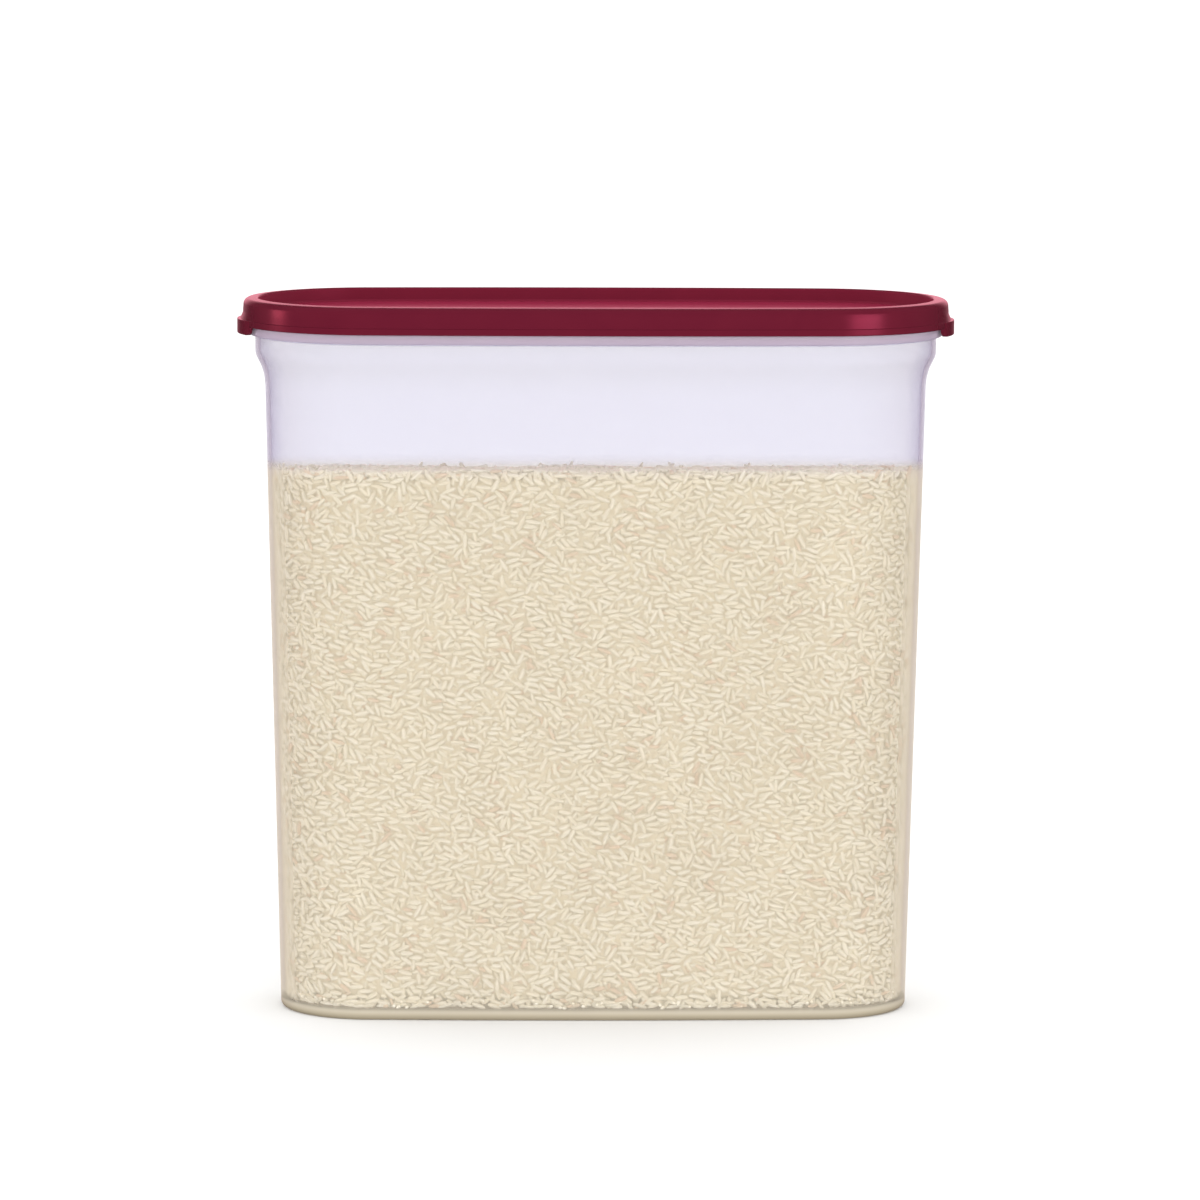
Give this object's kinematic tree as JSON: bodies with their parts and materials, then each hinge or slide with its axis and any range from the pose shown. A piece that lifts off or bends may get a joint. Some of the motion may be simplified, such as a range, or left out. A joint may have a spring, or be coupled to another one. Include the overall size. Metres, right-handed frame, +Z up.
{
  "type": "food storage container",
  "caption": "Tall oval kitchen keeper for dry food: a translucent container with a flared shoulder, closed by a press-on lid with a sunk panel and a finger lip at each end, filled with rice",
  "frame": {"origin": "centre of the foot, on the surface that the keeper stands on", "axes": "+X along the oval towards one finger lip, +Y to the back across the oval, +Z up, the way the lid lifts off"},
  "size_m": [0.2698, 0.101, 0.2699],
  "materials": {
    "container": "satin",
    "lid": "satin",
    "rice": "matte"
  },
  "bodies": {
    "container": {"container_body": "container", "rice_fill": "rice"},
    "lid": {"lid": "lid"}
  },
  "joints": [
    {"name": "lid_lift", "type": "slide", "parent": "container", "child": "lid", "axis": [0, 0, 1], "range_m": [0, 0.12]}
  ]
}
